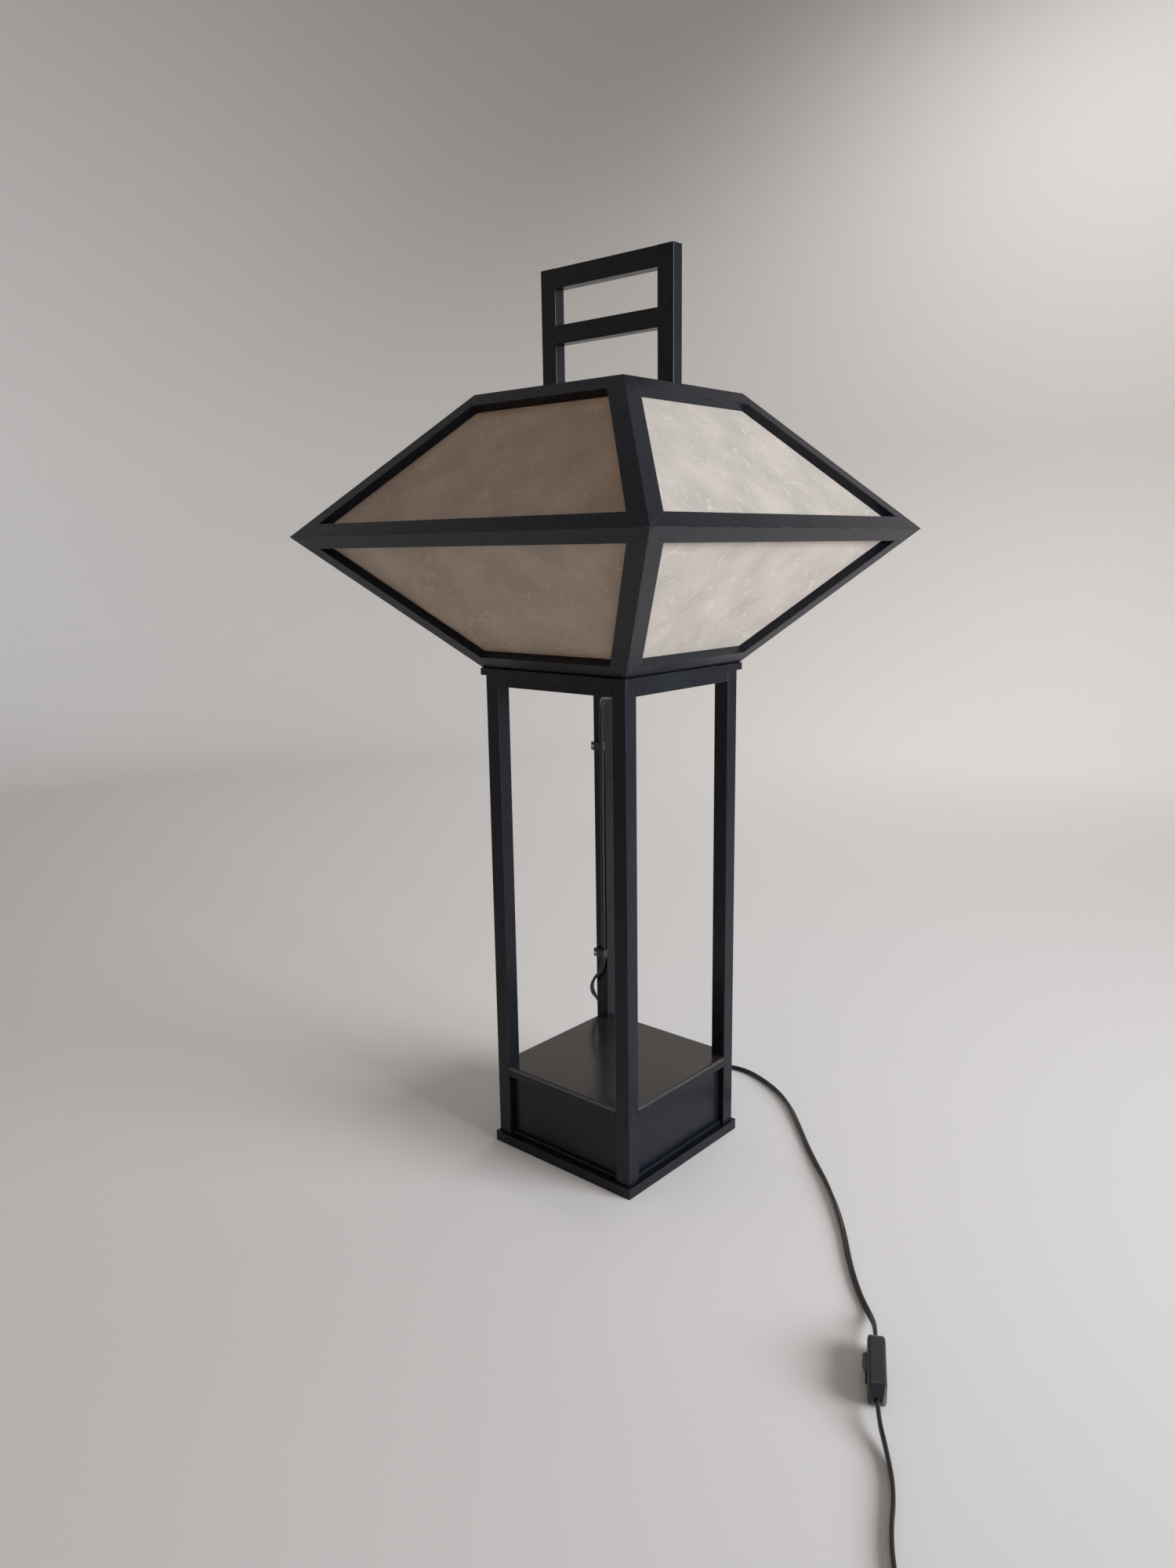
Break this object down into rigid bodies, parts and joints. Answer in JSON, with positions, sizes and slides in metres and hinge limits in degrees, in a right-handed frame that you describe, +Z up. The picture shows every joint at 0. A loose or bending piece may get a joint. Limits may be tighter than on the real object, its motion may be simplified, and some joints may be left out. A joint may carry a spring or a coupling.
{
  "type": "table lamp",
  "caption": "Lantern table lamp: open square black wood stand, lift-off flared paper shade in a stick frame, ladder handle, corded in-line switch and plug.",
  "frame": {"origin": "middle of the underside of the base board", "axes": "+Z up, +X to the right and -Y to the front; the handle runs along X and the flex comes down the back left post"},
  "size_m": [0.8352, 0.5548, 0.8275],
  "materials": {
    "black_stained_wood": "satin black paint over planed softwood, slightly worn at the edges",
    "fibre_paper": "unbleached handmade paper with long pale fibres, translucent",
    "black_thermoset": "moulded black thermoset",
    "brass": "pressed brass",
    "black_cord_sheath": "soft black sheath with a dull sheen",
    "black_moulded_plastic": "moulded black plastic with a fine texture",
    "steel": "zinc plated steel",
    "nickel_plate": "nickel plated brass",
    "aluminium": "rolled sheet",
    "black_vitrite": "black glass insulator",
    "opal_glass": "white opal glass"
  },
  "bodies": {
    "stand": {"base_board": "black_stained_wood", "stand_post_front_left": "black_stained_wood", "stand_post_front_right": "black_stained_wood", "stand_post_back_right": "black_stained_wood", "stand_post_back_left": "black_stained_wood", "base_panel_front": "black_stained_wood", "base_panel_right": "black_stained_wood", "base_panel_back": "black_stained_wood", "base_panel_left": "black_stained_wood", "base_beads": "black_stained_wood", "shelf_rails": "black_stained_wood", "shelf_board": "black_stained_wood", "stand_top_rails": "black_stained_wood", "stand_top_board": "black_stained_wood", "shade_cleats": "black_stained_wood", "lampholder_base": "black_thermoset", "lampholder_shell": "black_thermoset", "lampholder_thread": "brass", "lampholder_contact": "brass", "lampholder_terminals": "brass", "switch_contacts": "brass", "riser_cable": "black_cord_sheath", "cord_to_switch": "black_cord_sheath", "cord_to_coil": "black_cord_sheath", "cord_coil": "black_cord_sheath", "switch_front_shell": "black_moulded_plastic", "switch_back_shell": "black_moulded_plastic", "plug_body": "black_moulded_plastic", "cable_clips": "black_moulded_plastic", "coil_tie": "black_moulded_plastic", "stand_screws": "steel", "lampholder_screws": "steel", "switch_screws": "steel", "clip_nails": "steel", "plug_pins": "nickel_plate"},
    "shade": {"shade_top_rails": "black_stained_wood", "shade_upper_hips": "black_stained_wood", "shade_middle_rails": "black_stained_wood", "shade_lower_hips": "black_stained_wood", "shade_bottom_rails": "black_stained_wood", "handle_post_left": "black_stained_wood", "handle_post_right": "black_stained_wood", "handle_top_rail": "black_stained_wood", "handle_middle_rail": "black_stained_wood", "paper_upper_front": "fibre_paper", "paper_upper_right": "fibre_paper", "paper_upper_back": "fibre_paper", "paper_upper_left": "fibre_paper", "paper_lower_front": "fibre_paper", "paper_lower_right": "fibre_paper", "paper_lower_back": "fibre_paper", "paper_lower_left": "fibre_paper", "handle_screws": "steel"},
    "bulb_foot": {"bulb_contact": "brass"},
    "bulb": {"bulb_cap": "aluminium", "bulb_insulator": "black_vitrite", "bulb_glass": "opal_glass"},
    "rocker": {"switch_rocker": "black_moulded_plastic"}
  },
  "joints": [
    {"name": "shade_lift", "type": "slide", "parent": "stand", "child": "shade", "axis": [0, 0, 1], "range_m": [0, 0.16]},
    {"name": "bulb_rise", "type": "slide", "parent": "stand", "child": "bulb_foot", "axis": [0, 0, 1], "range_m": [0, 0.0146]},
    {"name": "bulb_turn", "type": "hinge", "parent": "bulb_foot", "child": "bulb", "pos_m": [0, 0, 0.51], "axis": [0, 0, 1], "range_deg": [0, 1440]},
    {"name": "rocker_tip", "type": "hinge", "parent": "stand", "child": "rocker", "pos_m": [0.36135, -0.15241, 0.0086], "axis": [0, 0, 1], "range_deg": [0, 12]}
  ],
  "couplings": [
    {"joint": "bulb_rise", "follows": "bulb_turn", "m_per_rad": 0.00057757}
  ]
}
